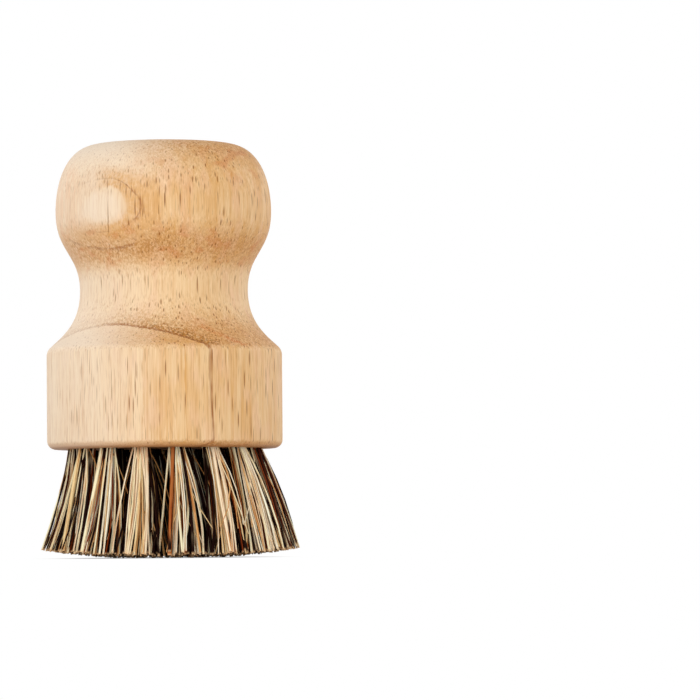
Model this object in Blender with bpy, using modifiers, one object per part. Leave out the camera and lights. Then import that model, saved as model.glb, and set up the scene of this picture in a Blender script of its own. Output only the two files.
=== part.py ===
# A pot brush: a turned wooden handle whose flat face is set with tufts of stiff plant fibre.
# Each tuft is a bundle folded double round a short flat wire, the staple, and driven with it
# into a blind hole, where the ends of the staple bite into the wood.
# The brush stands on its bristle tips. Z is up, and the origin is on the floor under its axis.

import bpy
import bmesh
from math import atan2, cos, hypot, pi, radians, sin, sqrt
from mathutils import Matrix, Vector
from mathutils.geometry import interpolate_bezier

# Turned handle: heights go up from the face that holds the bristles.
handle_height = 0.0673
base_diameter = 0.0520
base_wall_height = 0.0217
foot_round = 0.0019
shoulder_round = 0.0010
waist_diameter = 0.0371
waist_height = 0.0350
knob_diameter = 0.0477
knob_height = 0.0524
crown_diameter = 0.0284

# How far each stretch of the outline holds its direction, as a share of its own height or width.
flare_inward_share = 0.46
flare_upward_share = 0.24
waist_lower_share = 0.54
waist_upper_share = 0.47
knob_lower_share = 0.50
knob_upper_share = 0.48
crown_share = 0.73
round_share = 0.55

turning_steps = 48
flare_steps = 6
waist_steps = 9
crown_steps = 9
round_steps = 3
weld_distance = 0.00001

# Blind holes for the tufts, drilled square to each tuft's own lean.
hole_diameter = 0.0046
hole_depth = 0.0100
drill_point_height = 0.0008
hole_sides = 12
cut_overrun = 0.0010
fit_gap = 0.0003

# Bristles: the wooden face stands this high above the floor, and the tips are trimmed to a dome.
bristle_reach = 0.0240
strands_per_tuft = 15
strand_sides = 3
strand_diameter = 0.00066
root_proud = 0.0008
root_hold = 0.0008
tuft_gap = 0.0003
trim_dome_rise = 0.0027
trim_dome_power = 3
trim_flat_cut = 0.0005

# Flat wire staples: the fold is the fibre between the staple and the bottom of the hole.
staple_thickness = 0.0004
staple_width = 0.0018
staple_bite = 0.0004
fold_thickness = 0.0014

# Rings of tufts: circles of the hole centres, and the circles that bound each ring's tips.
outer_tuft_count = 16
outer_circle_diameter = 0.0394
outer_first_angle = radians(9.6)
middle_tuft_count = 9
middle_circle_diameter = 0.0246
middle_first_angle = radians(10)
inner_tuft_count = 4
inner_circle_diameter = 0.0100
inner_first_angle = radians(35)
tips_rim_diameter = 0.0580
outer_tips_inner_diameter = 0.0428
middle_tips_inner_diameter = 0.0228
inner_tips_inner_diameter = 0.0036

# Finishes from the photograph: colour, roughness, metallic.
wood_finish = ((0.84, 0.62, 0.40, 1.0), 0.55, 0.0)
fibre_finish = ((0.36, 0.20, 0.09, 1.0), 0.70, 0.0)
staple_finish = ((0.62, 0.62, 0.60, 1.0), 0.35, 1.0)

golden_angle = pi * (3 - sqrt(5))
hole_radius = hole_diameter / 2
strand_radius = strand_diameter / 2
root_radius = hole_radius - fit_gap
root_depth = hole_depth - fit_gap
staple_length = hole_diameter + 2 * staple_bite
slot_thickness = staple_thickness + 2 * fit_gap
slot_width = staple_width + 2 * fit_gap
staple_depth = root_depth - fold_thickness - slot_width / 2


def clear_scene():
    for item in list(bpy.data.objects):
        bpy.data.objects.remove(item, do_unlink=True)


def new_collection(name):
    collection = bpy.data.collections.new(name)
    bpy.context.scene.collection.children.link(collection)
    return collection


def make_material(name, finish):
    colour, roughness, metallic = finish
    material = bpy.data.materials.new(name)
    material.use_nodes = True
    material.diffuse_color = colour
    shader = material.node_tree.nodes["Principled BSDF"]
    shader.inputs["Base Color"].default_value = colour
    shader.inputs["Roughness"].default_value = roughness
    shader.inputs["Metallic"].default_value = metallic
    return material


def new_object(name, mesh, collection, parent=None):
    item = bpy.data.objects.new(name, mesh)
    collection.objects.link(item)
    item.parent = parent
    return item


def new_cutter(name, mesh):
    cutter = new_object(name, mesh, cutters)
    cutter.hide_render = True
    cutter.display_type = "WIRE"
    return cutter


def mesh_from(shape, name):
    mesh = bpy.data.meshes.new(name)
    shape.to_mesh(mesh)
    shape.free()
    return mesh


def boolean(target, cutter, operation):
    modifier = target.modifiers.new(cutter.name, "BOOLEAN")
    modifier.operation = operation
    modifier.solver = "EXACT"
    modifier.object = cutter


def evaluated_mesh(item, name):
    depsgraph = bpy.context.evaluated_depsgraph_get()
    mesh = bpy.data.meshes.new_from_object(item.evaluated_get(depsgraph))
    mesh.name = name
    return mesh


def add_box(shape, size, place):
    bmesh.ops.create_cube(shape, size=1.0, matrix=place @ Matrix.Diagonal(size).to_4x4())


def add_rod(shape, radius, low, high, place):
    # A round rod along the place's own Z axis, with a flat facet facing each end of the staple.
    centre = place @ Matrix.Translation((0, 0, (low + high) / 2))
    facing = centre @ Matrix.Rotation(pi / hole_sides, 4, "Z")
    return bmesh.ops.create_cone(shape, cap_ends=True, segments=hole_sides, radius1=radius,
                                 radius2=radius, depth=high - low, matrix=facing)["verts"]


# The handle's turned outline

def curve(start, leaving, arriving, end, steps):
    # Points of a smooth stretch, without its last one: that starts the next stretch.
    pulls = [Vector(point).to_3d() for point in (start, leaving, arriving, end)]
    return [point.to_2d() for point in interpolate_bezier(*pulls, steps + 1)[:-1]]


def rounded_corner(before, corner, after, radius):
    # A round edge of about this radius where two stretches of the outline meet.
    start = corner + (before - corner).normalized() * radius
    end = corner + (after - corner).normalized() * radius
    return curve(start, start.lerp(corner, round_share), end.lerp(corner, round_share), end,
                 round_steps) + [end]


def handle_outline():
    # Half of the turned section, from the middle of the flat crown down to the bristle face.
    base_radius = base_diameter / 2
    waist_radius = waist_diameter / 2
    knob_radius = knob_diameter / 2
    crown_radius = crown_diameter / 2
    crown_rise = handle_height - knob_height
    knob_rise = knob_height - waist_height
    flare_rise = waist_height - base_wall_height
    flare_run = base_radius - waist_radius

    crown_edge = Vector((crown_radius, handle_height))
    crown_pull = Vector(((knob_radius - crown_radius) * crown_share, 0))
    knob = Vector((knob_radius, knob_height))
    waist = Vector((waist_radius, waist_height))
    shoulder = Vector((base_radius, base_wall_height))
    flare_pull = Vector((-flare_run * flare_inward_share, flare_rise * flare_upward_share))
    shoulder_end = shoulder + flare_pull.normalized() * shoulder_round
    foot = Vector((base_radius, 0))

    outline = [Vector((0, handle_height))]
    outline += curve(crown_edge, crown_edge + crown_pull,
                     knob + Vector((0, crown_rise * knob_upper_share)), knob, crown_steps)
    outline += curve(knob, knob - Vector((0, knob_rise * knob_lower_share)),
                     waist + Vector((0, knob_rise * waist_upper_share)), waist, waist_steps)
    outline += curve(waist, waist - Vector((0, flare_rise * waist_lower_share)),
                     shoulder + flare_pull, shoulder_end, flare_steps)
    outline += rounded_corner(shoulder + flare_pull, shoulder, foot, shoulder_round)
    outline += rounded_corner(shoulder, foot, Vector((0, 0)), foot_round)
    outline.append(Vector((0, 0)))
    return outline


def make_handle(drills, nicks):
    # One piece of wood, turned on its axis, then drilled for the tufts. The bite of the staples
    # leaves a small slot on each side of every hole.
    shape = bmesh.new()
    corners = [shape.verts.new((point.x, 0, point.y + bristle_reach)) for point in handle_outline()]
    for upper, lower in zip(corners, corners[1:]):
        shape.edges.new((upper, lower))
    handle = new_object("wooden_handle", mesh_from(shape, "wooden_handle"), parts, brush)
    turning = handle.modifiers.new("turning", "SCREW")
    turning.steps = turning_steps
    turning.render_steps = turning_steps
    turning.use_merge_vertices = True
    turning.merge_threshold = weld_distance
    turning.use_smooth_shade = True
    boolean(handle, drills, "DIFFERENCE")
    boolean(handle, nicks, "DIFFERENCE")
    handle.data.materials.append(make_material("turned_wood", wood_finish))
    return handle


# The tufts and their staples

class Ring:
    # A ring of like tufts. Its holes lean so that each tuft points at the middle of its tips.
    def __init__(self, name, count, circle_diameter, first_angle, tips_inner_diameter,
                 tips_outer_diameter):
        self.name = name
        self.count = count
        self.first_angle = first_angle
        circle_radius = circle_diameter / 2
        self.tip_centre = (tips_inner_diameter + tips_outer_diameter) / 4
        self.tip_depth = (tips_outer_diameter - tips_inner_diameter) / 4 - strand_radius - tuft_gap / 2
        self.tip_width = self.widest_tips()
        lean = atan2(self.tip_centre - circle_radius, bristle_reach)
        mouth = Matrix.Translation((circle_radius, 0, bristle_reach))
        self.seat = mouth @ Matrix.Rotation(-lean, 4, "Y")

    def widest_tips(self):
        # Half the width that the tips may take before they reach the tufts beside them.
        half_turn = pi / self.count
        room = self.tip_centre * sin(half_turn) - strand_radius - tuft_gap / 2
        taken = self.tip_depth * sin(half_turn)
        return sqrt(room * room - taken * taken) / cos(half_turn)

    def places(self):
        # Where each tuft's hole opens, with Z running up into the wood.
        for number in range(self.count):
            turn = self.first_angle + 2 * pi * number / self.count
            yield Matrix.Rotation(turn, 4, "Z") @ self.seat

    def label(self, kind, number):
        return f"{kind}_{self.name}_{number:02d}"


def trim_height(x, y):
    # The tips rise towards the rim as a shallow dome, cut flat in the middle where they stand.
    dome = trim_dome_rise * (2 * hypot(x, y) / tips_rim_diameter) ** trim_dome_power
    return max(0, dome - trim_flat_cut)


def spread():
    # Even places in a circle of radius 1, each turned by the golden angle from the last.
    for number in range(strands_per_tuft):
        radius = sqrt((number + 1 / 2) / strands_per_tuft)
        turn = number * golden_angle
        yield radius * cos(turn), radius * sin(turn)


def add_strand(shape, root, tip, to_seat):
    # One straight fibre, slanted by shearing, so that its cut end lies level with the floor.
    rise = root.z - tip.z
    slant = Matrix.Translation((root + tip) / 2)
    slant.col[2] = ((root - tip) / rise).resized(4)
    bmesh.ops.create_cone(shape, cap_ends=True, segments=strand_sides, radius1=strand_radius,
                          radius2=strand_radius, depth=rise, matrix=to_seat @ slant)


def make_tuft_mesh(ring):
    # The fibres spread from the bound root to their tips by one even stretch, so none cross.
    to_seat = ring.seat.inverted()
    root_spread = root_radius - strand_radius
    root_shape = bmesh.new()
    add_rod(root_shape, root_radius, -root_proud, root_depth, Matrix.Identity(4))
    root = new_cutter("tuft_root", mesh_from(root_shape, "tuft_root"))

    window_shape = bmesh.new()
    window_size = (2 * root_radius + 2 * cut_overrun, slot_thickness, slot_width)
    add_box(window_shape, window_size, Matrix.Translation((0, 0, staple_depth)))
    window = new_cutter("staple_window", mesh_from(window_shape, "staple_window"))

    strands_shape = bmesh.new()
    for along, across in spread():
        foot = Vector((along * root_spread, across * root_spread, root_hold - root_proud))
        tip = Vector((ring.tip_centre + along * ring.tip_depth, across * ring.tip_width, 0))
        tip.z = trim_height(tip.x, tip.y)
        add_strand(strands_shape, ring.seat @ foot, tip, to_seat)
    strands = new_cutter("tuft_strands", mesh_from(strands_shape, "tuft_strands"))

    boolean(root, window, "DIFFERENCE")
    boolean(root, strands, "UNION")
    tuft = evaluated_mesh(root, f"{ring.name}_tuft")
    for piece in (root, window, strands):
        bpy.data.objects.remove(piece, do_unlink=True)
    return tuft


def make_staple_mesh(wire):
    shape = bmesh.new()
    size = (staple_length, staple_thickness, staple_width)
    add_box(shape, size, Matrix.Translation((0, 0, staple_depth)))
    staple = mesh_from(shape, "flat_wire_staple")
    staple.materials.append(wire)
    return staple


def make_ring(ring, staple_mesh, fibre):
    tuft_mesh = make_tuft_mesh(ring)
    tuft_mesh.materials.append(fibre)
    for number, place in enumerate(ring.places(), start=1):
        tuft = new_object(ring.label("tuft", number), tuft_mesh, parts, brush)
        tuft.matrix_world = place
        staple = new_object(ring.label("staple", number), staple_mesh, parts, brush)
        staple.matrix_world = place


def make_drills(rings):
    # Every hole as one cutter each, ending in the cone that a drill's point leaves.
    shape = bmesh.new()
    for ring in rings:
        for place in ring.places():
            rod = add_rod(shape, hole_radius, -cut_overrun, hole_depth, place)
            caps = {face for corner in rod for face in corner.link_faces if len(face.verts) > 4}
            deepest = max(caps, key=lambda face: face.calc_center_median().z)
            bmesh.ops.poke(shape, faces=[deepest], offset=drill_point_height)
    return new_cutter("drills", mesh_from(shape, "drills"))


def make_nicks(rings):
    shape = bmesh.new()
    size = (staple_length + 2 * fit_gap, slot_thickness, slot_width)
    for ring in rings:
        for place in ring.places():
            add_box(shape, size, place @ Matrix.Translation((0, 0, staple_depth)))
    return new_cutter("nicks", mesh_from(shape, "nicks"))


clear_scene()
parts = new_collection("pot_brush")
cutters = new_collection("cutters")
brush = bpy.data.objects.new("brush_axis", None)
parts.objects.link(brush)

rings = [
    Ring("outer", outer_tuft_count, outer_circle_diameter, outer_first_angle,
         outer_tips_inner_diameter, tips_rim_diameter),
    Ring("middle", middle_tuft_count, middle_circle_diameter, middle_first_angle,
         middle_tips_inner_diameter, outer_tips_inner_diameter),
    Ring("inner", inner_tuft_count, inner_circle_diameter, inner_first_angle,
         inner_tips_inner_diameter, middle_tips_inner_diameter),
]

make_handle(make_drills(rings), make_nicks(rings))
fibre = make_material("plant_fibre", fibre_finish)
staple_mesh = make_staple_mesh(make_material("flat_wire", staple_finish))
for ring in rings:
    make_ring(ring, staple_mesh, fibre)
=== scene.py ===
from math import atan2, cos, hypot, pi, radians, sin, sqrt
from random import Random

import bmesh
import bpy
from mathutils import Matrix, Vector
from mathutils.geometry import interpolate_bezier


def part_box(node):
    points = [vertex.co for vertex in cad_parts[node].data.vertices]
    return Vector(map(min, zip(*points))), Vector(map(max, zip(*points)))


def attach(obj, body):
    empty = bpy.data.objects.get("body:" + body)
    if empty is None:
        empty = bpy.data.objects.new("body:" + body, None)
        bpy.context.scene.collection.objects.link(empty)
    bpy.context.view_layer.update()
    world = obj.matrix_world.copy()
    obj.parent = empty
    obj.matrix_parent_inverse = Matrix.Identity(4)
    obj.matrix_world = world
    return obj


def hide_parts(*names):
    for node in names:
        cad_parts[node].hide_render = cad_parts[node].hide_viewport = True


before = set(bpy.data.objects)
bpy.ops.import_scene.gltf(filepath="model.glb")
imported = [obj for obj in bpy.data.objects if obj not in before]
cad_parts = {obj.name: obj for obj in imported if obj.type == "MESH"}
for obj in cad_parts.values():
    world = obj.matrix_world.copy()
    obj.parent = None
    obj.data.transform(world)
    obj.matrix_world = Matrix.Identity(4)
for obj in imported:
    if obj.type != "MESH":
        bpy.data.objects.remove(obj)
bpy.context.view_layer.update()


# Wooden handle
# One piece of pale, close-grained hardwood, turned between centres: a drum for the bristles, a cove
# for the fingers and a knob for the palm. Its flat face is drilled with one leaning blind hole for
# each tuft, and the ends of the staples have bitten a short slot on each side of every hole.

face_corner, crown_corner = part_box("wooden_handle")
face_height = face_corner.z
handle_height = crown_corner.z - face_height
base_radius = crown_corner.x
base_wall_height = 0.0217
foot_round = 0.0019
shoulder_round = 0.0010
waist_radius = 0.01855
waist_height = 0.0350
knob_radius = 0.02385
knob_height = 0.0524
crown_radius = 0.0142

flare_inward_share = 0.46
flare_upward_share = 0.24
waist_lower_share = 0.54
waist_upper_share = 0.47
knob_lower_share = 0.50
knob_upper_share = 0.48
crown_share = 0.73
round_share = 0.55

hole_radius = 0.0023
hole_depth = 0.0100
drill_point_height = 0.0008
cut_overrun = 0.0010
fit_gap = 0.0003
staple_bite = 0.0004
staple_thickness = 0.0004
staple_width = 0.0018
fold_thickness = 0.0014
slot_thickness = staple_thickness + 2 * fit_gap
slot_width = staple_width + 2 * fit_gap
slot_length = 2 * (hole_radius + staple_bite + fit_gap)
staple_depth = hole_depth - fit_gap - fold_thickness - slot_width / 2
turning_steps = 192
knob_steps = 36
flare_steps = 28
shoulder_round_steps = 6
foot_round_steps = 8
drill_sides = 24
merge_distance = 0.000001
sharp_edge_angle = radians(40)


class Ring:
    # One ring of tufts: the circle that its holes open on, and the room that its tips fill.
    def __init__(self, name, count, circle_radius, first_angle, tips_inner_radius, tips_outer_radius,
                 painted_shade):
        self.name = name
        self.painted_shade = painted_shade
        self.count = count
        self.first_angle = first_angle
        self.tip_centre = (tips_inner_radius + tips_outer_radius) / 2
        self.tip_depth = (tips_outer_radius - tips_inner_radius) / 2
        self.tip_width = self.tip_centre * sin(pi / count)
        lean = atan2(self.tip_centre - circle_radius, face_height)
        mouth = Matrix.Translation((circle_radius, 0, face_height))
        self.seat = mouth @ Matrix.Rotation(-lean, 4, "Y")

    def places(self):
        # Where each hole opens, with Z running up into the wood and X away from the brush's axis.
        for number in range(self.count):
            turn = self.first_angle + 2 * pi * number / self.count
            yield f"{self.name}_{number + 1:02d}", Matrix.Rotation(turn, 4, "Z") @ self.seat


# The tufts in each ring, the radius of their holes' circle, the first tuft's angle, the radii between
# which their tips lie, and how much darker their fibres are than those of the outer ring: painted shade
# for the inner rings, which lie in shade behind the outer one.
rings = [
    Ring("outer", 16, 0.0197, radians(9.6), 0.0214, 0.0290, 1.0),
    Ring("middle", 9, 0.0123, radians(10), 0.0114, 0.0214, 4.0),
    Ring("inner", 4, 0.0050, radians(35), 0.0018, 0.0114, 3.0),
]


def stretch(start, leaving, arriving, end, steps):
    # A smooth stretch of the outline, without its last point, which starts the next stretch.
    pulls = [Vector(point).to_3d() for point in (start, leaving, arriving, end)]
    return [point.to_2d() for point in interpolate_bezier(*pulls, steps + 1)[:-1]]


def rounded_corner(before, corner, after, radius, steps):
    start = corner + (before - corner).normalized() * radius
    end = corner + (after - corner).normalized() * radius
    return stretch(start, start.lerp(corner, round_share), end.lerp(corner, round_share), end,
                   steps) + [end]


def handle_outline():
    # Half of the turned section, from the middle of the flat crown down to the bristle face.
    crown_rise = handle_height - knob_height
    knob_rise = knob_height - waist_height
    flare_rise = waist_height - base_wall_height
    crown_edge = Vector((crown_radius, handle_height))
    crown_pull = Vector(((knob_radius - crown_radius) * crown_share, 0))
    knob = Vector((knob_radius, knob_height))
    waist = Vector((waist_radius, waist_height))
    shoulder = Vector((base_radius, base_wall_height))
    flare_pull = Vector(((waist_radius - base_radius) * flare_inward_share,
                         flare_rise * flare_upward_share))
    shoulder_end = shoulder + flare_pull.normalized() * shoulder_round
    foot = Vector((base_radius, 0))
    outline = [Vector((0, handle_height))]
    outline += stretch(crown_edge, crown_edge + crown_pull,
                       knob + Vector((0, crown_rise * knob_upper_share)), knob, knob_steps)
    outline += stretch(knob, knob - Vector((0, knob_rise * knob_lower_share)),
                       waist + Vector((0, knob_rise * waist_upper_share)), waist, knob_steps)
    outline += stretch(waist, waist - Vector((0, flare_rise * waist_lower_share)),
                       shoulder + flare_pull, shoulder_end, flare_steps)
    outline += rounded_corner(shoulder + flare_pull, shoulder, foot, shoulder_round,
                              shoulder_round_steps)
    outline += rounded_corner(shoulder, foot, Vector((0, 0)), foot_round, foot_round_steps)
    outline.append(Vector((0, 0)))
    return outline


def new_piece(name, shape):
    mesh = bpy.data.meshes.new(name)
    shape.to_mesh(mesh)
    shape.free()
    piece = bpy.data.objects.new(name, mesh)
    bpy.context.scene.collection.objects.link(piece)
    return piece


def turned_blank():
    shape = bmesh.new()
    corners = [shape.verts.new((point.x, 0, point.y + face_height)) for point in handle_outline()]
    edges = [shape.edges.new(pair) for pair in zip(corners, corners[1:])]
    bmesh.ops.spin(shape, geom=corners + edges, cent=(0, 0, 0), axis=(0, 0, 1), angle=2 * pi,
                   steps=turning_steps, use_merge=True)
    bmesh.ops.remove_doubles(shape, verts=shape.verts, dist=merge_distance)
    bmesh.ops.recalc_face_normals(shape, faces=shape.faces)
    for face in shape.faces:
        face.smooth = True
    return new_piece("turned_handle", shape)


def drilled_holes():
    shape = bmesh.new()
    for ring in rings:
        for name, place in ring.places():
            middle = place @ Matrix.Translation((0, 0, (hole_depth - cut_overrun) / 2))
            rod = bmesh.ops.create_cone(shape, cap_ends=True, segments=drill_sides, radius1=hole_radius,
                                        radius2=hole_radius, depth=hole_depth + cut_overrun,
                                        matrix=middle)["verts"]
            caps = {face for corner in rod for face in corner.link_faces if len(face.verts) > 4}
            deepest = max(caps, key=lambda face: face.calc_center_median().z)
            bmesh.ops.poke(shape, faces=[deepest], offset=drill_point_height)
    return new_piece("drilled_holes", shape)


def staple_slots():
    shape = bmesh.new()
    size = Matrix.Diagonal((slot_length, slot_thickness, slot_width, 1))
    for ring in rings:
        for name, place in ring.places():
            bmesh.ops.create_cube(shape, size=1,
                                  matrix=place @ Matrix.Translation((0, 0, staple_depth)) @ size)
    return new_piece("staple_slots", shape)


handle = turned_blank()
for tool in (drilled_holes(), staple_slots()):
    cut = handle.modifiers.new(tool.name, "BOOLEAN")
    cut.operation = "DIFFERENCE"
    cut.solver = "EXACT"
    cut.object = tool
    depsgraph = bpy.context.evaluated_depsgraph_get()
    whole = bpy.data.meshes.new_from_object(handle.evaluated_get(depsgraph))
    handle.modifiers.clear()
    handle.data = whole
    bpy.data.objects.remove(tool, do_unlink=True)
handle.data.set_sharp_from_angle(angle=sharp_edge_angle)


class Finish:
    # A value in a finish, so that a sum can be written on it. Any node is made by the method node.
    def __init__(self, tree, socket=None):
        self.tree = tree
        self.socket = socket

    def node(self, kind, settings=None, inputs=None, output=0):
        node = self.tree.nodes.new(kind)
        for name, value in (settings or {}).items():
            if name == "stops":
                set_stops(node.color_ramp, value)
            else:
                setattr(node, name, value)
        for key, value in (inputs or {}).items():
            if isinstance(value, Finish):
                self.tree.links.new(value.socket, node.inputs[key])
            else:
                node.inputs[key].default_value = value
        return Finish(self.tree, node.outputs[output]) if node.outputs else None

    def math(self, operation, *others):
        values = dict(enumerate((self,) + others))
        return self.node("ShaderNodeMath", {"operation": operation}, values)

    def __add__(self, other):
        return self.math("ADD", other)

    def __sub__(self, other):
        return self.math("SUBTRACT", other)

    def __rsub__(self, other):
        return self.node("ShaderNodeMath", {"operation": "SUBTRACT"}, {0: other, 1: self})

    def __mul__(self, other):
        return self.math("MULTIPLY", other)

    def __truediv__(self, other):
        return self.math("DIVIDE", other)

    def __pow__(self, other):
        return self.math("POWER", other)

    __radd__ = __add__
    __rmul__ = __mul__

    def smooth(self, low, high):
        # 0 at low and 1 at high, easing in between. High may be the smaller of the two.
        return self.node("ShaderNodeMapRange", {"interpolation_type": "SMOOTHSTEP"},
                         {0: self, 1: low, 2: high, 3: 0.0, 4: 1.0})

    def rise(self, middle, start, full):
        # The same, with both ends measured from the middle.
        return self.smooth(middle + start, middle + full)

    def band(self, middle, start, full, fading, end):
        # 1 between full and fading, and 0 before start and after end.
        return self.rise(middle, start, full) * self.rise(middle, end, fading)

    def part(self, name):
        # One axis of a place or one channel of a colour.
        if name in "XYZ":
            return self.node("ShaderNodeSeparateXYZ", None, {0: self}, name)
        return self.node("ShaderNodeSeparateColor", None, {0: self}, name)

    def cells(self, x, y, z):
        # A place measured in cells of these sizes, in metres.
        return self.node("ShaderNodeVectorMath", {"operation": "DIVIDE"}, {0: self, 1: (x, y, z)})

    def noise(self, detail=2.0, roughness=0.5):
        return self.node("ShaderNodeTexNoise", None,
                         {"Vector": self, "Scale": 1.0, "Detail": detail, "Roughness": roughness})

    def blend(self, first, second):
        # From the first colour to the second, as this value goes from 0 to 1.
        return self.node("ShaderNodeMix", {"data_type": "RGBA"}, {0: self, 6: first, 7: second}, 2)

    def stain(self, colour, dye):
        # The colour as it is at 0, and at 1 seen through the dye, so that dark ones stay dark.
        return self.node("ShaderNodeMix", {"data_type": "RGBA", "blend_type": "MULTIPLY"},
                         {0: self, 6: colour, 7: dye}, 2)


def set_stops(ramp, stops):
    # Stops are places from 0 to 1 and their colours. A stop's colour holds until the next one.
    ramp.interpolation = "CONSTANT"
    for place, colour in stops[2:]:
        ramp.elements.new(place)
    for element, (place, colour) in zip(ramp.elements, stops):
        element.position = place
        element.color = colour


def srgb(red, green, blue):
    # A colour as it is seen on a screen, from 0 to 255.
    linear = [c / 12.92 if c <= 0.04045 else ((c + 0.055) / 1.055) ** 2.4
              for c in (red / 255, green / 255, blue / 255)]
    return (*linear, 1.0)


def new_finish(name):
    material = bpy.data.materials.new(name)
    material.use_nodes = True
    material.node_tree.nodes.clear()
    return material, Finish(material.node_tree)


def set_surface(sheet, inputs):
    shader = sheet.node("ShaderNodeBsdfPrincipled", None, inputs)
    sheet.node("ShaderNodeOutputMaterial", None, {"Surface": shader})


# The log's heart lay behind the right of the brush. The late wood of each year darkens up to a sharp
# ring: one ring cuts the drum as an upright line, climbs over its shoulder and comes out again under
# the knob, and the next closes round the pale eye on the front of the knob. The left side is sapwood,
# which is also drawn paler over the upper left and the crown as a painted highlight.
heart_x = 0.0088
heart_y = 0.0146
year_width = 0.0020
inner_ring = 0.0342
shoulder_ring = 0.0382
eye_ring = 0.04006
eye_core = 0.04060
eye_height = 0.0760
knob_middle = face_height + knob_height
late_wood_fade = 0.0010
ring_wander = 0.0009
ring_fray = 0.0002
end_grain_fray = 0.0004
eye_line_fray = 0.00006
eye_reach = 0.0100
eye_swell = 0.00022
knob_lean_share = 0.022
# The pale side reaches further right on the crown: painted highlight on the top of the knob.
crown_highlight_shift = 0.0058
vessel_x = -0.0111
vessel_fray = 0.00025
vessel_half_widths = (0.00014, 0.00006)
fibre_relief = 0.00006

# Heights above the floor from which a part of the colouring begins, and at which it is full.
drum_heights = (0.0600, 0.0540)
shoulder_heights = (0.0600, 0.0560)
waist_foot_heights = (0.0470, 0.0550)
waist_top_heights = (0.0670, 0.0620)
neck_heights = (0.0560, 0.0600)
stain_heights = (0.0725, 0.0670)
knob_heights = (0.0600, 0.0680)
crown_heights = (0.0780, 0.0860)
vessel_foot_heights = (0.0700, 0.0716)
vessel_top_heights = (0.0794, 0.0750)

# The same across the front, where the left is negative, and for one from front to back.
golden_sides = (0.0, 0.0200)
sapwood_and_highlight_sides = (0.0060, -0.0180)
cheek_sides = (-0.0165, -0.0200)
shoulder_line_sides = (-0.0165, -0.0060)
neck_line_sides = (0.0140, 0.0020)
inner_line_sides = (0.0065, 0.0095)
eye_line_sides = (-0.0160, -0.0060)
eye_gold_sides = (-0.0150, -0.0095)
vessel_fronts = (-0.0100, -0.0120)

# How far from its ring each mark begins, is full, fades again and ends. Negative is on the heart's side.
halo_edges = (-0.0032, -0.0005, 0.0, 0.00012)
shoulder_line_edges = (-0.00034, -0.00006, 0.0, 0.00012)
shoulder_line_bleed = 0.00030
inner_line_edges = (-0.0016, 0.0, 0.00005, 0.00030)
eye_line_edges = (-0.00006, -0.00001, 0.0, 0.00003)
eye_dash_edges = (-0.00020, -0.00004, 0.00002, 0.00010)
eye_gold_edges = (-0.00146, 0.0, 0.00034, 0.00054)
eye_core_edges = (-0.00004, 0.00026)
past_ring_edges = (-0.0001, 0.0002)

pale_wood = srgb(240, 206, 159)
# Pale sapwood, also used for the eye's core and for the painted highlight on the upper left.
sap_wood = srgb(247, 231, 210)
golden_wood = srgb(221, 166, 96)
rosy_wood = srgb(236, 190, 150)
light_fibre = srgb(252, 222, 180)
# End grain, and also the colour of the painted shade under the knob and on the foot.
end_grain_and_shade = srgb(198, 140, 78)
# Painted shade on the drilled face, under the drum and the bristles.
shaded_face_wood = srgb(160, 98, 52)
ring_wood = srgb(146, 80, 28)
warm_stain = srgb(184, 122, 46)
dark_stain = srgb(122, 74, 18)
red_wood = srgb(204, 122, 62)
pore_wood = srgb(140, 78, 0)


class Grain:
    # Where a point of the handle lies in the log: how high, how far from the heart, and whether its
    # surface cuts the fibres across. The patterns that several of the colour's layers share are here.
    def __init__(self, sheet):
        self.place = sheet.node("ShaderNodeTexCoord", None, None, "Object")
        facing = sheet.node("ShaderNodeNewGeometry", None, None, "Normal").part("Z")
        self.side = self.place.part("X")
        self.front = self.place.part("Y")
        self.height = self.place.part("Z")
        self.drum = self.height.smooth(*drum_heights)
        self.knob = self.height.smooth(*knob_heights)
        self.crown = self.height.smooth(*crown_heights)
        self.cut_across = facing.math("ABSOLUTE").smooth(0.20, 0.80)
        # The underside of the drum's rounded foot and its drilled face, drawn darker: painted shade.
        self.foot = facing.smooth(-0.15, -0.60) * self.drum
        self.face = facing.smooth(-0.60, -0.95) * self.drum
        # The underside of the knob, which is drawn more golden and darker: painted shade.
        self.shaded_underside = facing.smooth(-0.10, -0.45) * (1.0 - self.drum)
        # Pale on the left: real sapwood, with painted highlight where the light falls on the upper left
        # and the crown.
        self.sapwood_and_highlight = (self.side - self.crown * crown_highlight_shift).smooth(*sapwood_and_highlight_sides)

        self.fibres = self.place.cells(0.00024, 0.00024, 0.0080).noise(3.0, 0.6)
        self.bands = self.place.cells(0.0008, 0.0008, 0.0260).noise(3.0, 0.6)
        self.mottle = self.place.cells(0.00046, 0.00046, 0.00080).noise(2.0, 0.6)
        self.specks = self.mottle.smooth(0.38, 0.64)
        self.broken = self.place.cells(0.0035, 0.0035, 0.0035).noise(2.0).smooth(0.40, 0.60)
        self.fray = self.place.cells(0.0006, 0.0006, 0.0040).noise(2.0) - 0.5

        self.radius = self.heart_distance()
        self.frayed = self.radius + self.fray * (ring_fray + end_grain_fray * self.cut_across)
        self.eye = self.frayed.rise(eye_core, *eye_core_edges) * self.knob
        self.eye_gold = self.frayed.band(eye_ring, *eye_gold_edges) * self.knob
        self.past_ring = self.radius.rise(shoulder_ring, *past_ring_edges) * self.drum
        self.marked = (1.0 - self.eye * 0.5) * (1.0 - self.sapwood_and_highlight * self.cut_across * 0.6)

    def heart_distance(self):
        # The rings wander a little, and bend away from the heart above and below the eye.
        across = self.side - heart_x
        along = self.front - heart_y
        wander = self.place.cells(0.012, 0.012, 0.030).noise(2.0) - 0.5
        swell = (self.height - eye_height) / eye_reach
        bend = swell * swell * eye_swell + (self.height - knob_middle) * knob_lean_share
        straight = (across * across + along * along).math("SQRT")
        return straight + wander * ring_wander - bend * (1.0 - self.drum)


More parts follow.
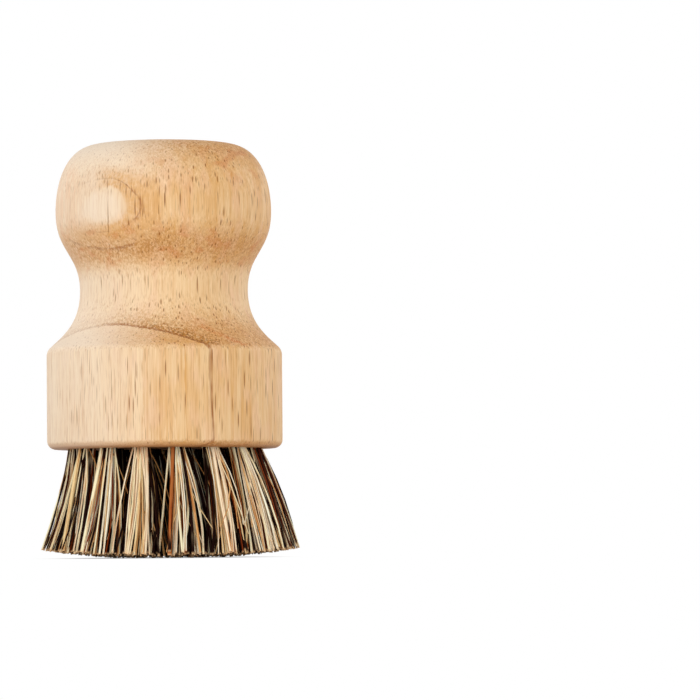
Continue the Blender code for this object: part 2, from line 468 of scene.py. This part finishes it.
def bare_wood(grain):
    # Pale wood with golden and rosy streaks, darker where it is cut across; the sapwood on the left with
    # painted highlight over the upper left, and painted shade, golden and darker, under the knob.
    streaks = grain.place.cells(0.0024, 0.0024, 0.0500).noise(2.0)
    cloud = grain.place.cells(0.0090, 0.0090, 0.0200).noise(2.0)
    blush = grain.place.cells(0.0030, 0.0030, 0.0080).noise(1.0)
    years = ((grain.frayed - shoulder_ring) / year_width).math("FRACT")
    late_wood = years ** 3.0 * (0.12 + 0.88 * grain.radius.rise(shoulder_ring, 0.0, late_wood_fade))
    waist = grain.height.smooth(*waist_foot_heights) * grain.height.smooth(*waist_top_heights)
    gold = streaks.smooth(0.40, 0.70) * 0.35 + cloud.smooth(0.38, 0.70) * 0.35 + late_wood * 0.42
    gold = gold + (late_wood * 0.15 + 0.06) * grain.knob + grain.eye_gold * 0.70
    gold = gold + grain.bands.smooth(0.45, 0.72) * 0.45 + grain.side.smooth(*golden_sides) * 0.20
    # More golden under the knob: painted shade.
    gold = gold + grain.shaded_underside * 0.25 + grain.past_ring * grain.cut_across * 0.35
    gold = (gold * (1.0 - 0.55 * waist)).math("MINIMUM", 1.0)
    colour = gold.blend(pale_wood, golden_wood)
    colour = (blush.smooth(0.48, 0.70) * 0.45).blend(colour, rosy_wood)
    # The sapwood is paler still on upward faces and holds back the darker end grain there: painted
    # highlight.
    pale_side = grain.sapwood_and_highlight * (0.66 + 0.26 * grain.cut_across) * (1.0 - 0.6 * grain.shaded_underside)
    colour = pale_side.blend(colour, sap_wood)
    darker = (1.0 - grain.sapwood_and_highlight * (0.92 - 0.67 * grain.shaded_underside)) * (1.0 - grain.past_ring * 0.50)
    shade = grain.cut_across * darker * (0.20 + 0.84 * grain.specks)
    # Darker again under the knob: painted shade.
    shade = shade + grain.shaded_underside * (0.08 + 0.28 * grain.specks)
    return shade.blend(colour, end_grain_and_shade)


def ring_stains(grain, colour):
    # The eye's golden right side and pale core, and the stain along the two rings of the shoulder.
    gold_side = grain.eye_gold * grain.side.smooth(*eye_gold_sides)
    colour = (gold_side * (0.30 + 0.40 * grain.specks)).blend(colour, golden_wood)
    colour = (grain.eye * 0.45).blend(colour, sap_wood)
    halo = grain.frayed.band(shoulder_ring, *halo_edges) * grain.cut_across
    stain = halo * (1.0 - grain.sapwood_and_highlight * 0.70) * grain.height.smooth(*stain_heights)
    colour = (stain * (0.10 + 0.88 * grain.mottle.smooth(0.42, 0.58))).blend(colour, warm_stain)
    dots = grain.place.cells(0.00052, 0.00052, 0.00052).noise(1.0).smooth(0.48, 0.60)
    colour = (stain * stain * dots).blend(colour, dark_stain)
    inner_line = grain.frayed.band(inner_ring, *inner_line_edges) * grain.side.smooth(*inner_line_sides)
    inner_line = inner_line * grain.drum * grain.cut_across
    return (inner_line * (0.10 + 0.80 * grain.specks)).blend(colour, red_wood)


def turned_faces(grain, colour):
    # Reddish patches under the knob and on its crown, and painted shade in darker end-grain colours on
    # the underside of the rounded foot and on the drilled face under the drum.
    patches = grain.place.cells(0.0042, 0.0042, 0.0030).noise(2.0).smooth(0.54, 0.66)
    reddened = grain.shaded_underside + grain.crown * (1.0 - grain.sapwood_and_highlight)
    colour = (patches * reddened * 0.40).blend(colour, red_wood)
    # Painted shade: the foot's underside and, darker still, the drilled face.
    colour = (grain.foot * 0.50).blend(colour, end_grain_and_shade)
    return (grain.face * 0.65).blend(colour, shaded_face_wood)


def ring_lines(grain, colour):
    # The dark line of the shoulder's ring, split by fibres on the wall, and the eye's, with dashes.
    start, *others = shoulder_line_edges
    start = start - shoulder_line_bleed * grain.cut_across
    over_shoulder = 0.20 + 0.80 * grain.side.smooth(*shoulder_line_sides)
    over_shoulder = over_shoulder * grain.height.smooth(*shoulder_heights)
    under_knob = grain.height.smooth(*neck_heights) * grain.side.smooth(*neck_line_sides)
    line = grain.frayed.band(shoulder_ring, start, *others) * (1.0 - 0.15 * grain.cut_across)
    line = line * (over_shoulder + under_knob * grain.broken * 0.85) * grain.height.smooth(*stain_heights)
    crooked = grain.radius + grain.fray * eye_line_fray
    dashes = crooked.band(eye_ring, *eye_dash_edges) * grain.fibres.smooth(0.48, 0.62)
    eye_line = crooked.band(eye_ring, *eye_line_edges) * 0.75 + dashes * 0.85
    plainness = grain.side.smooth(*eye_line_sides) * (0.10 + 0.75 * grain.broken) + 0.22 * grain.broken
    line = (line + eye_line * plainness * grain.knob).math("MINIMUM", 1.0) * (0.72 + 1.2 * grain.fray)
    split = (1.0 - grain.fibres.smooth(0.40, 0.58)) * grain.drum * (1.0 - grain.cut_across)
    return (line * (1.0 - 0.40 * split)).blend(colour, ring_wood)


def fibre_lines(grain, colour):
    # Fine upright stripes, dark and light, and a rosy edge at the left of the knob.
    colour = (grain.fibres.smooth(0.48, 0.72) * grain.marked * 0.50).blend(colour, end_grain_and_shade)
    colour = (grain.fibres.smooth(0.46, 0.26) * grain.marked * 0.52).blend(colour, light_fibre)
    cheek = grain.side.smooth(*cheek_sides) * (1.0 - grain.cut_across) * (1.0 - grain.drum)
    return (cheek * grain.bands.smooth(0.38, 0.62) * 0.45).blend(colour, rosy_wood)


def pores(place, width, slimness, reach, presence):
    # Cut vessels: slim upright spindles, which show as short dashes on a wall and dots on end grain.
    cells = place.cells(width, width, width * slimness)
    distance = cells.node("ShaderNodeTexVoronoi", None, {"Vector": cells, "Scale": 1.0}, "Distance")
    chance = cells.node("ShaderNodeTexVoronoi", None, {"Vector": cells, "Scale": 1.0}, "Color")
    chosen = chance.part("Red").math("LESS_THAN", presence)
    depth = 0.58 + 0.42 * chance.part("Green")
    return distance.smooth(reach, reach * 0.4) * chosen * depth


def cut_vessels(grain, colour):
    # Vessels of three sizes, fewer in the eye and the sapwood, and a long one down the eye's middle.
    drift = grain.place.cells(0.0060, 0.0060, 0.0200).noise(1.0).smooth(0.38, 0.62)
    sparse = (1.0 - grain.sapwood_and_highlight * 0.4) * grain.marked * (1.0 - grain.eye * 0.6)
    fine_pores = pores(grain.place, width=0.00030, slimness=14.0, reach=0.33,
                       presence=0.70)
    colour = (fine_pores * sparse * (0.38 + 0.25 * grain.cut_across)).blend(colour, pore_wood)
    slim_pores = pores(grain.place, width=0.00044, slimness=22.0, reach=0.28,
                       presence=0.50)
    slim_depth = sparse * (0.38 + 0.62 * drift.math("MAXIMUM", grain.cut_across))
    colour = (slim_pores * slim_depth).blend(colour, pore_wood)
    bold_pores = pores(grain.place, width=0.00066, slimness=12.0, reach=0.33,
                       presence=0.42)
    bold_depth = (1.0 - grain.sapwood_and_highlight * 0.6) * (1.0 - grain.eye) * (0.92 + 0.20 * drift)
    colour = (bold_pores * bold_depth).blend(colour, pore_wood)
    beside_vessel = (grain.side - vessel_x - grain.fray * vessel_fray).math("ABSOLUTE")
    vessel = beside_vessel.smooth(*vessel_half_widths) * grain.front.smooth(*vessel_fronts)
    vessel = vessel * grain.height.smooth(*vessel_foot_heights) * grain.height.smooth(*vessel_top_heights)
    return (vessel * (0.72 + 0.90 * grain.fray)).blend(colour, pore_wood)


def turned_wood():
    material, sheet = new_finish("turned_wood")
    grain = Grain(sheet)
    colour = bare_wood(grain)
    for layer in (ring_stains, turned_faces, ring_lines, fibre_lines, cut_vessels):
        colour = layer(grain, colour)
    bump = sheet.node("ShaderNodeBump", None,
                      {"Strength": 0.20, "Distance": fibre_relief, "Height": grain.fibres})
    set_surface(sheet, {"Base Color": colour, "Roughness": 0.54 + grain.fibres * 0.12, "Normal": bump,
                        "Specular IOR Level": 0.36})
    return material


handle.data.materials.clear()
handle.data.materials.append(turned_wood())
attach(handle, "root")
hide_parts("wooden_handle")


# Bristle tufts
# Stiff fibres stripped from a palm's leaf stalks, in every shade from straw to nearly black, some
# round and some flat. A bundle is folded double round its staple and driven into the hole, so each
# fibre has two ends out. The face is then trimmed to a shallow dome, cut flat in the middle.

fibres_per_tuft = 27
fibre_sides = 5
fibre_rings = 17
leg_shares = (0.13, 0.32, 0.54, 0.77, 1.0)
root_radius = hole_radius - fit_gap
fibre_clearance = 0.00045
wire_clearance_share = 0.6
gathered_share = 0.90
fold_spread_share = 0.85
throat_depth = 0.0025
folded_fibres = 0.0006
fibre_half_widths = (0.00016, 0.00029)
fibre_flatness_shares = (0.60, 0.95)
fibre_bow = 0.00044
blade_share = 0.08
blade_half_widths = (0.00036, 0.00050)
blade_flatness_share = 0.35
blade_darkening = 0.82
stray_share = 0.11
stray_half_width = 0.00012
stray_bow = 0.0012
stray_scatter = 0.0042
stray_reach_share = 0.92
stray_shortfall = 0.0060
stray_lowest_tone = 0.5
tip_scatter = 0.0011
tip_scatter_depth_share = 0.8
tip_spread_share = 0.93
tip_unevenness = 0.00034
# Fibres on the outer side of each tuft are drawn paler and those on its inner side darker: painted light
# on the front of the tuft and painted shade behind it.
painted_lit_side_share = 0.1
painted_lit_side_darkness = 0.72
painted_shade_side_darkness = 2.3
pattern_width = 0.15
pattern_step = 3.7
pattern_scatter = 90
trim_dome_rise = 0.0021
trim_dome_power = 2.4
trim_dome_depth = 0.75
trim_flat_cut = 0.0003
tips_rim_radius = 0.0284
tips_drift = 0.0011
brushed_aside = 0.0005
golden_angle = pi * (3 - sqrt(5))
# The last stretch of each fibre is paler: its cut end, and painted light from the floor on the tips.
cut_end_and_lit_tip_length = 0.0006

rust_stalk_tuft = "outer_13"
rust_stalk_half_width = 0.00066
rust_stalk_half_thickness = 0.00046
rust_stalk_tip = (0.0020, -0.0280, 0.0007)
rust_stalk_front_shares = (0.85, 0.50)
rust_stalk_rear_shares = (-0.60, 0.10)
rust_tone = 0.455
rust_pattern = 5.0

# Each shade and the share of the fibres that have it.
fibre_shades = [
    (0.31, srgb(29, 5, 0)),
    (0.08, srgb(74, 26, 4)),
    (0.05, srgb(134, 58, 16)),
    (0.03, srgb(180, 106, 54)),
    (0.05, srgb(230, 178, 114)),
    (0.08, srgb(250, 222, 166)),
    (0.10, srgb(255, 236, 202)),
    (0.16, srgb(255, 245, 206)),
    (0.14, srgb(255, 251, 228)),
]


def trim_height(x, y):
    out = hypot(x - tips_drift, y * trim_dome_depth) / tips_rim_radius
    return max(0, trim_dome_rise * out ** trim_dome_power - trim_flat_cut)


def fibre_template():
    # A tube of unit radius with its rings one unit apart, closed by a flat cut at each end.
    shape = bmesh.new()
    length = fibre_rings - 1
    bmesh.ops.create_cone(shape, cap_ends=True, segments=fibre_sides, radius1=1, radius2=1,
                          depth=length, matrix=Matrix.Translation((0, 0, length / 2)))
    sides = [edge for edge in shape.edges if edge.verts[0].co.z != edge.verts[1].co.z]
    for edge in shape.edges:
        edge.smooth = edge in sides
    bmesh.ops.subdivide_edges(shape, edges=sides, cuts=fibre_rings - 2, use_grid_fill=True)
    for face in shape.faces:
        face.smooth = True
    mesh = bpy.data.meshes.new("fibre_template")
    shape.to_mesh(mesh)
    shape.free()
    return mesh


def leg_points(ring, place, side, across, out, rng, stray):
    # One end of a fibre, from beside the staple out through the mouth of the hole to its cut tip.
    spread = root_radius - fibre_clearance / 2
    clear = staple_thickness / 2 + fibre_clearance * wire_clearance_share
    inside = clear + out * (spread - clear)
    mouth = place @ Vector((across * spread, side * out * spread, 0))
    gathered = Vector((across * spread, side * inside)) * gathered_share
    beside = place @ Vector((*gathered, staple_depth))
    throat = place @ Vector((across * spread, side * out * spread, throat_depth))
    turn = atan2(place.translation.y, place.translation.x)
    scatter = stray_scatter if stray else tip_scatter
    tip_depth = across * ring.tip_depth * tip_spread_share
    tip_depth += rng.gauss(0, scatter) * tip_scatter_depth_share
    tip_width = side * out * ring.tip_width * tip_spread_share + rng.gauss(0, scatter)
    tip = Vector((ring.tip_centre + tip_depth, tip_width, 0))
    tip = Matrix.Rotation(turn, 3, "Z") @ tip + Vector((tips_drift, 0, 0))
    reach = hypot(tip.x - tips_drift, tip.y)
    farthest = tips_rim_radius * (stray_reach_share if stray else 1)
    if reach > farthest:
        tip *= farthest / reach
    tip.z = trim_height(tip.x, tip.y) + abs(rng.gauss(0, tip_unevenness))
    if stray:
        tip.z += rng.uniform(0, stray_shortfall)
    bow = Vector((rng.gauss(0, 1), rng.gauss(0, 1), 0)) * (stray_bow if stray else fibre_bow)
    bow.x += brushed_aside
    points = [beside, throat, mouth]
    for share in leg_shares:
        points.append(mouth.lerp(tip, share) + bow * (4 * share * (1 - share)))
    return points


def fibre_path(ring, place, across, out, rng, stray):
    first = leg_points(ring, place, 1, across, out, rng, stray)
    second = leg_points(ring, place, -1, across, out, rng, stray and rng.random() < 0.5)
    fold = staple_depth + staple_width / 2 + fit_gap + out * (fold_thickness - folded_fibres)
    bottom = place @ Vector((across * root_radius * fold_spread_share, 0, fold))
    return first[::-1] + [bottom] + second


def rust_stalk_path(ring, place, rng):
    # One stalk that is broader than the fibres and stands straight down in front of its tuft.
    front = leg_points(ring, place, -1, *rust_stalk_front_shares, rng, False)
    mouth = front[2]
    front[3:] = [mouth.lerp(Vector(rust_stalk_tip), share) for share in leg_shares]
    rear = leg_points(ring, place, 1, *rust_stalk_rear_shares, rng, False)
    bottom = place @ Vector((0, 0, staple_depth + staple_width / 2 + fit_gap))
    return front[::-1] + [bottom] + rear


def lay_fibre(shape, template, path, half_width, half_thickness, twist, tone, pattern_start):
    # Copies the template and bends it along the path: each ring stands square to its own stretch.
    start = len(shape.verts)
    shape.from_mesh(template)
    shape.verts.ensure_lookup_table()
    directions = []
    for index in range(len(path)):
        before = path[max(index - 1, 0)]
        after = path[min(index + 1, len(path) - 1)]
        directions.append((after - before).normalized())
    turned = directions[0].to_track_quat("Z", "X").to_matrix() @ Matrix.Rotation(twist, 3, "Z")
    frames = [turned]
    for before, after in zip(directions, directions[1:]):
        turned = before.rotation_difference(after).to_matrix() @ turned
        frames.append(turned)
    tone_layer = shape.verts.layers.float["tone"]
    place_layer = shape.verts.layers.float_vector["fibre_place"]
    for vert in shape.verts[start:]:
        ring = round(vert.co.z)
        section = Vector((vert.co.x * half_width, vert.co.y * half_thickness, 0))
        spot = path[ring] + frames[ring] @ section
        if ring in (0, len(path) - 1):
            # The trimming knife cuts level, whatever way the fibre leans.
            spot.z = path[ring].z
        tip_distance = min((path[ring] - path[0]).length, (path[ring] - path[-1]).length)
        vert[tone_layer] = tone
        vert[place_layer] = Vector((pattern_start + vert.co.x * pattern_width,
                                    vert.co.y * pattern_width, tip_distance))
        vert.co = spot


def make_tuft(name, ring, place, template, rng):
    shape = bmesh.new()
    shape.verts.layers.float.new("tone")
    shape.verts.layers.float_vector.new("fibre_place")
    for number in range(fibres_per_tuft):
        radius = sqrt((number + 0.5) / fibres_per_tuft)
        turn = number * golden_angle
        stray = rng.random() < stray_share
        path = fibre_path(ring, place, radius * cos(turn), abs(radius * sin(turn)), rng, stray)
        blade = rng.random() < blade_share
        half_width = rng.uniform(*(blade_half_widths if blade else fibre_half_widths))
        flatness = blade_flatness_share if blade else rng.uniform(*fibre_flatness_shares)
        half_thickness = half_width * flatness
        if stray:
            half_width = half_thickness = stray_half_width
        # Paler fibres in front, darker ones behind and in the inner rings: painted light and painted
        # shade.
        depth = painted_lit_side_darkness if cos(turn) > painted_lit_side_share else painted_shade_side_darkness
        tone = rng.random() ** (ring.painted_shade * depth) * (blade_darkening if blade else 1)
        if stray:
            tone = max(tone, stray_lowest_tone)
        lay_fibre(shape, template, path, half_width, half_thickness, rng.uniform(0, pi), tone,
                  number * pattern_step + rng.uniform(0, pattern_scatter))
    if name == f"bristles_{rust_stalk_tuft}":
        lay_fibre(shape, template, rust_stalk_path(ring, place, rng), rust_stalk_half_width,
                  rust_stalk_half_thickness, 0, rust_tone, rust_pattern)
    return new_piece(name, shape)


def plant_fibre():
    material, sheet = new_finish("plant_fibre")
    tone = sheet.node("ShaderNodeAttribute", {"attribute_name": "tone"}, None, "Fac")
    place = sheet.node("ShaderNodeAttribute", {"attribute_name": "fibre_place"}, None, "Vector")
    stops = []
    reached = 0
    for share, shade in fibre_shades:
        stops.append((reached, shade))
        reached += share
    streaks = place.cells(0.10, 0.10, 0.0100).noise(3.0, 0.6)
    patches = place.cells(1.0, 1.0, 0.0060).noise(2.0)
    cut_end_and_lit_tip = place.part("Z").smooth(cut_end_and_lit_tip_length, 0.0)
    colour = tone.node("ShaderNodeValToRGB", {"stops": stops}, {0: tone})
    colour = (streaks.smooth(0.50, 0.60) * 0.90).stain(colour, srgb(202, 144, 86))
    colour = (patches.smooth(0.55, 0.80) * 0.20).blend(colour, srgb(248, 222, 176))
    # Paler cut ends, with painted light from the floor on the lowest stretch of each fibre.
    colour = (cut_end_and_lit_tip * 0.65).blend(colour, srgb(240, 196, 146))
    bump = sheet.node("ShaderNodeBump", None,
                      {"Strength": 0.3, "Distance": 0.00005, "Height": streaks})
    set_surface(sheet, {"Base Color": colour, "Roughness": 0.45 + streaks * 0.2, "Normal": bump,
                        "Specular IOR Level": 0.05})
    return material


fibre_finish = plant_fibre()
template = fibre_template()
rng = Random(11)
for ring in rings:
    for name, place in ring.places():
        tuft = make_tuft(f"bristles_{name}", ring, place, template, rng)
        tuft.data.materials.append(fibre_finish)
        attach(tuft, "root")
        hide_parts(f"tuft_{name}")
bpy.data.meshes.remove(template)


# Staples
# Short lengths of flat galvanised wire, one for each tuft, buried in the holes: the fold of the
# bundle lies round them and their ends bite into the wood. Their solids are right as they are.

def galvanised_wire():
    material, sheet = new_finish("flat_wire")
    place = sheet.node("ShaderNodeTexCoord", None, None, "Object")
    drawn = place.cells(0.0020, 0.00010, 0.00010).noise(2.0)
    spangle = place.cells(0.0006, 0.0006, 0.0006).noise(1.0)
    colour = spangle.smooth(0.3, 0.7).blend(srgb(176, 178, 180), srgb(206, 207, 206))
    bump = sheet.node("ShaderNodeBump", None,
                      {"Strength": 0.2, "Distance": 0.00003, "Height": drawn})
    set_surface(sheet, {"Base Color": colour, "Metallic": 1.0, "Roughness": 0.30 + drawn * 0.2,
                        "Normal": bump})
    return material


wire_finish = galvanised_wire()
for name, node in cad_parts.items():
    if name.startswith("staple"):
        node.material_slots[0].material = wire_finish


# Studio
# A plain pale floor, an even white surround and four broad soft lamps: one high on the left, one low
# in front, and a weaker one behind on each side. The camera stands about a metre away with its lens
# just above the floor, as for the photograph.

def seen_plainly(sheet):
    # 1 where the camera sees a surface straight, in a mirror or through glass, and 0 for soft light.
    straight = sheet.node("ShaderNodeLightPath", None, None, "Is Camera Ray")
    mirrored = sheet.node("ShaderNodeLightPath", None, None, "Is Glossy Ray")
    through = sheet.node("ShaderNodeLightPath", None, None, "Is Transmission Ray")
    return straight.math("MAXIMUM", mirrored).math("MAXIMUM", through)


floor_shape = bmesh.new()
bmesh.ops.create_grid(floor_shape, x_segments=1, y_segments=1, size=20.0)
floor = new_piece("floor", floor_shape)
floor_finish, sheet = new_finish("pale_floor")
place = sheet.node("ShaderNodeTexCoord", None, None, "Object")
away = place.node("ShaderNodeVectorMath", {"operation": "LENGTH"}, {0: place}, "Value")
paper = sheet.node("ShaderNodeBsdfPrincipled", None,
                   {"Base Color": (0.92, 0.92, 0.92, 1.0), "Roughness": 0.9})
blank = sheet.node("ShaderNodeEmission", None, {"Color": (1.0, 1.0, 1.0, 1.0), "Strength": 1.0})
fade = (away.smooth(0.015, 0.0315) * 0.70 + 0.30) * seen_plainly(sheet)
surface = sheet.node("ShaderNodeMixShader", None, {0: fade, 1: paper, 2: blank})
sheet.node("ShaderNodeOutputMaterial", None, {"Surface": surface})
floor.data.materials.append(floor_finish)

world = bpy.data.worlds.new("white_surround")
bpy.context.scene.world = world
world.use_nodes = True
world.node_tree.nodes.clear()
sky = Finish(world.node_tree)
soft = sky.node("ShaderNodeBackground", None, {"Color": (1.0, 0.98, 0.96, 1.0), "Strength": 0.54})
white = sky.node("ShaderNodeBackground", None, {"Color": (1.0, 1.0, 1.0, 1.0), "Strength": 1.0})
surround = sky.node("ShaderNodeMixShader", None, {0: seen_plainly(sky), 1: soft, 2: white})
sky.node("ShaderNodeOutputWorld", None, {"Surface": surround})


def soft_lamp(name, place, target, size, energy, colour):
    data = bpy.data.lights.new(name, "AREA")
    data.shape = "DISK"
    data.size = size
    data.energy = energy
    data.color = colour
    lamp = bpy.data.objects.new(name, data)
    bpy.context.scene.collection.objects.link(lamp)
    lamp.location = place
    lamp.rotation_euler = (Vector(target) - Vector(place)).to_track_quat("-Z", "Y").to_euler()


soft_lamp("key_lamp", (-0.30, -0.80, 0.42), (0, 0, 0.04), 0.5, 2.2, (1.0, 0.99, 0.97))
soft_lamp("low_lamp", (0.12, -0.98, 0.12), (0, 0, 0.02), 0.4, 2.1, (1.0, 0.99, 0.97))
soft_lamp("fill_lamp", (0.74, 0.46, 0.26), (0, 0, 0.05), 0.5, 1.9, (0.97, 0.99, 1.0))
soft_lamp("side_lamp", (-0.60, 0.45, 0.30), (0, 0, 0.06), 0.5, 1.1, (1.0, 1.0, 1.0))

photo_width = 700
photo_scale = 0.0002212
brush_axis_column = 164.4
floor_row = 555.8
camera_distance = 0.950
camera_height = 0.0055
camera_roll = radians(-0.5)

aim = Vector(((photo_width / 2 - brush_axis_column) * photo_scale, 0,
              (floor_row - photo_width / 2) * photo_scale))
camera_place = Vector((aim.x, -camera_distance, camera_height))
camera_data = bpy.data.cameras.new("camera")
camera_data.clip_start = 0.01
camera_data.angle = 2 * atan2(photo_width * photo_scale / 2, (aim - camera_place).length)
camera = bpy.data.objects.new("camera", camera_data)
bpy.context.scene.collection.objects.link(camera)
facing = (aim - camera_place).to_track_quat("-Z", "Y").to_matrix().to_4x4()
camera.matrix_world = Matrix.Translation(camera_place) @ facing @ Matrix.Rotation(camera_roll, 4, "Z")
bpy.context.scene.camera = camera
bpy.context.scene.view_settings.view_transform = "Standard"
